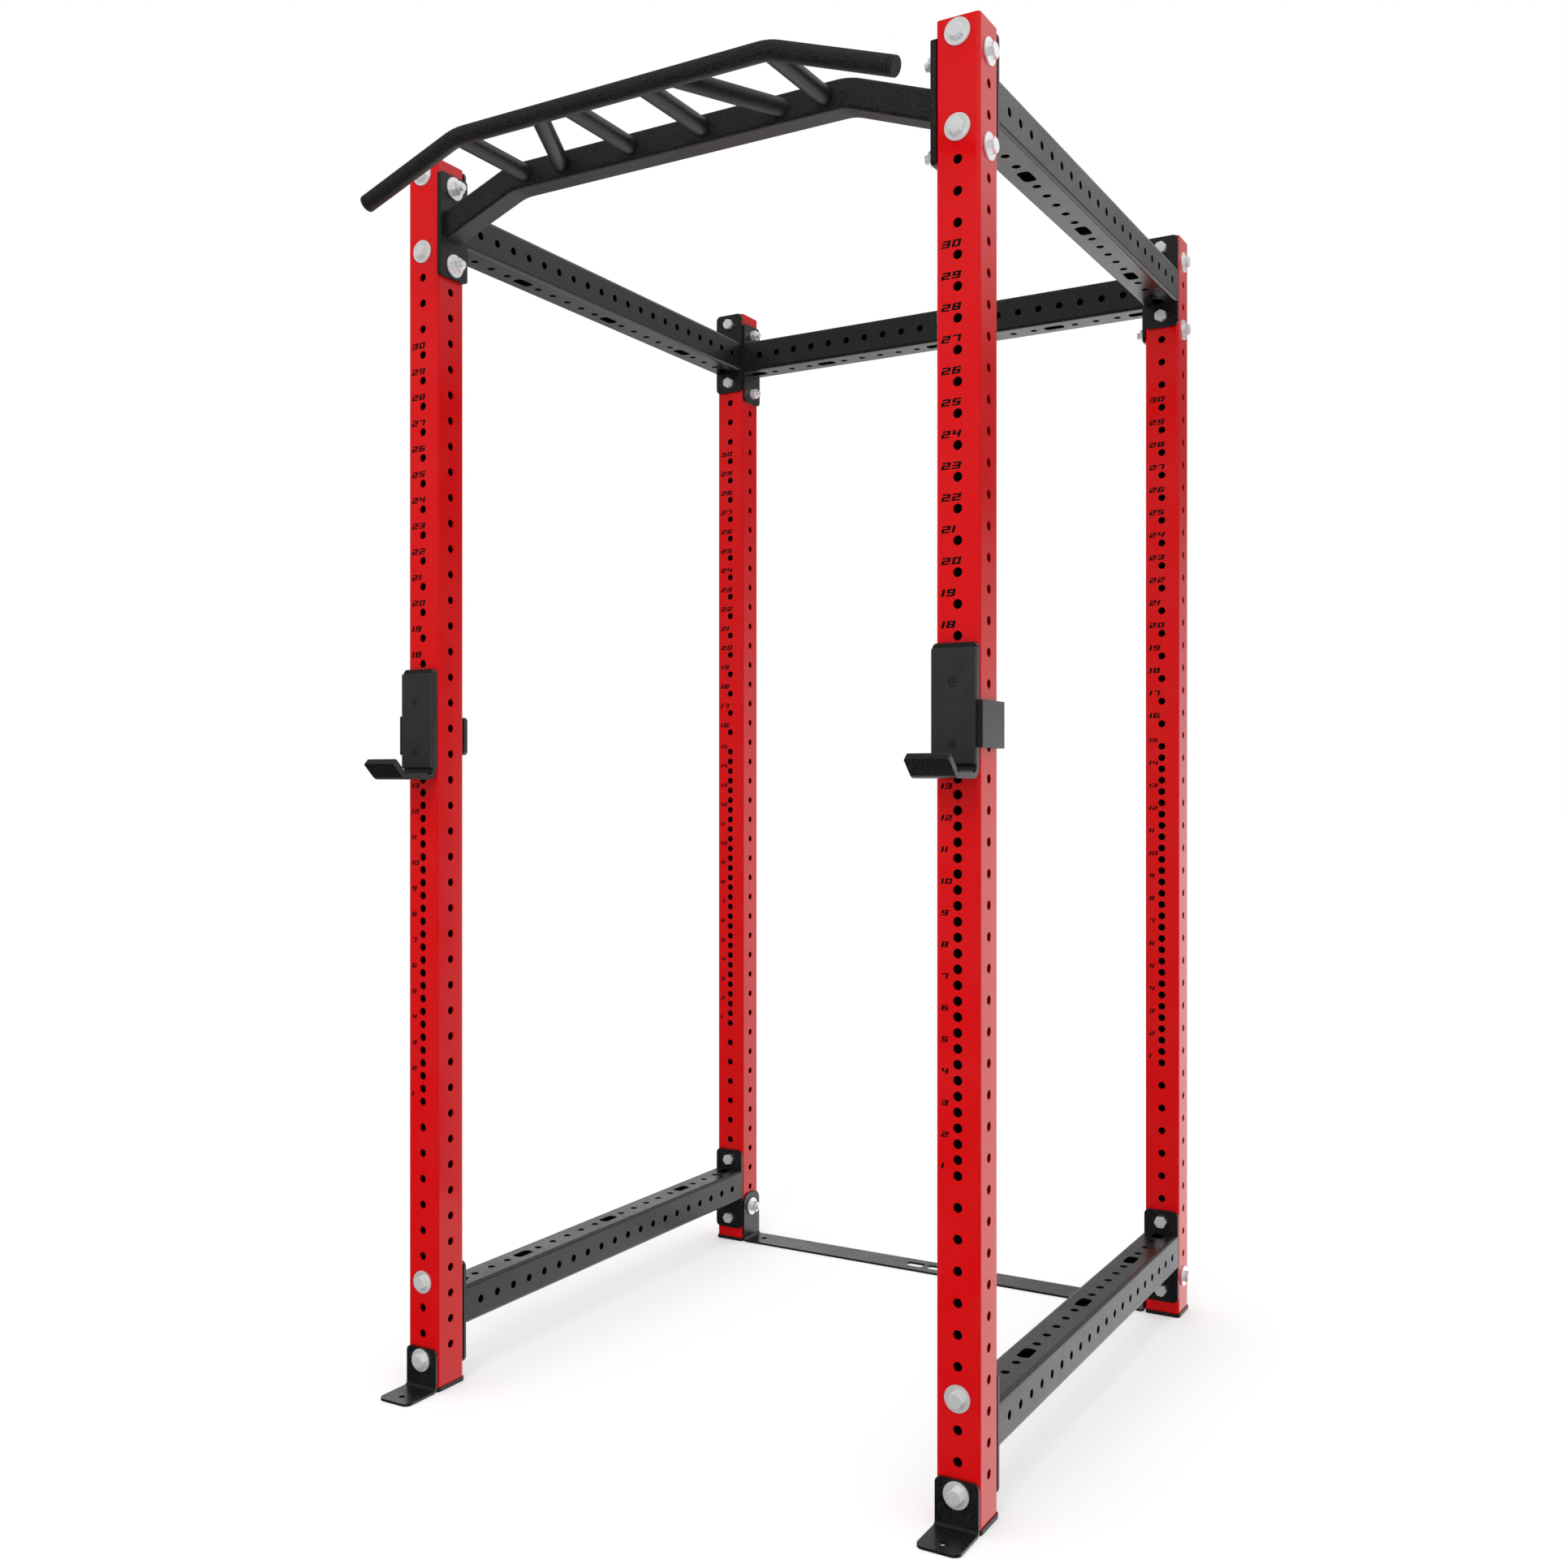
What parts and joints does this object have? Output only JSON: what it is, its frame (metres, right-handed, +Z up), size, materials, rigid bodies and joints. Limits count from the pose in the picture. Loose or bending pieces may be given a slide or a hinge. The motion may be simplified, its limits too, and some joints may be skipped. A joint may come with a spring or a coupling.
{
  "type": "power cage",
  "caption": "Bolted four-post power cage of perforated square tube with crossmembers, swing-out bar hooks, a multi-grip pull-up bar, floor feet and a rear floor bar.",
  "frame": {"origin": "on the floor, at the centre of the whole cage's footprint", "axes": "+Z up, the open front with the pull-up bar and bar hooks faces -Y, +X to the right of somebody looking at the front"},
  "size_m": [1.2458, 1.435, 2.421],
  "materials": {
    "red_powder_coat": "satin",
    "black_powder_coat": "textured",
    "black_grip_coat": "textured",
    "liner_plastic": "matte",
    "black_plastic": "matte",
    "zinc_hardware": "bright zinc plated",
    "black_screws": "black oxide",
    "pin_steel": "turned"
  },
  "bodies": {
    "frame": {"crossmember_lower_left_flanges": "black_powder_coat", "crossmember_lower_left_tube": "black_powder_coat", "crossmember_lower_right_flanges": "black_powder_coat", "crossmember_lower_right_tube": "black_powder_coat", "crossmember_rear_flanges": "black_powder_coat", "crossmember_rear_tube": "black_powder_coat", "crossmember_upper_left_flanges": "black_powder_coat", "crossmember_upper_left_tube": "black_powder_coat", "crossmember_upper_right_flanges": "black_powder_coat", "crossmember_upper_right_tube": "black_powder_coat", "flat_washers": "zinc_hardware", "foot_bracket_left": "black_powder_coat", "foot_bracket_right": "black_powder_coat", "foot_cap_front_left": "black_plastic", "foot_cap_front_right": "black_plastic", "foot_cap_rear_left": "black_plastic", "foot_cap_rear_right": "black_plastic", "grip_bar": "black_grip_coat", "grip_bar_cap_left": "black_plastic", "grip_bar_cap_right": "black_plastic", "hex_bolts_long": "zinc_hardware", "hex_bolts_standard": "zinc_hardware", "hex_nuts": "zinc_hardware", "pullup_beam": "black_grip_coat", "pullup_flange_left": "black_grip_coat", "pullup_flange_right": "black_grip_coat", "rear_floor_bar": "black_powder_coat", "rung_angled_left": "black_grip_coat", "rung_angled_right": "black_grip_coat", "rung_inner_left": "black_grip_coat", "rung_inner_right": "black_grip_coat", "rung_outer_left": "black_grip_coat", "rung_outer_right": "black_grip_coat", "top_plug_front_left": "black_plastic", "top_plug_front_right": "black_plastic", "top_plug_rear_left": "black_plastic", "top_plug_rear_right": "black_plastic", "upright_front_left": "red_powder_coat", "upright_front_right": "red_powder_coat", "upright_rear_left": "red_powder_coat", "upright_rear_right": "red_powder_coat"},
    "jhook_left": {"jhook_back_liner_left": "liner_plastic", "jhook_front_liner_left": "liner_plastic", "jhook_lip_liner_left": "liner_plastic", "jhook_pin_left": "pin_steel", "jhook_plate_left": "black_powder_coat", "jhook_saddle_left": "black_powder_coat", "jhook_screws_left": "black_screws", "jhook_tray_liner_left": "liner_plastic"},
    "jhook_right": {"jhook_back_liner_right": "liner_plastic", "jhook_front_liner_right": "liner_plastic", "jhook_lip_liner_right": "liner_plastic", "jhook_pin_right": "pin_steel", "jhook_plate_right": "black_powder_coat", "jhook_saddle_right": "black_powder_coat", "jhook_screws_right": "black_screws", "jhook_tray_liner_right": "liner_plastic"}
  },
  "joints": [
    {"name": "jhook_right_swing", "type": "hinge", "parent": "frame", "child": "jhook_right", "pos_m": [0.5715, -0.52705, 1.3796], "axis": [0, -1, 0], "range_deg": [0, 90]},
    {"name": "jhook_left_swing", "type": "hinge", "parent": "frame", "child": "jhook_left", "pos_m": [-0.5715, -0.52705, 1.3796], "axis": [0, 1, 0], "range_deg": [0, 90]}
  ]
}
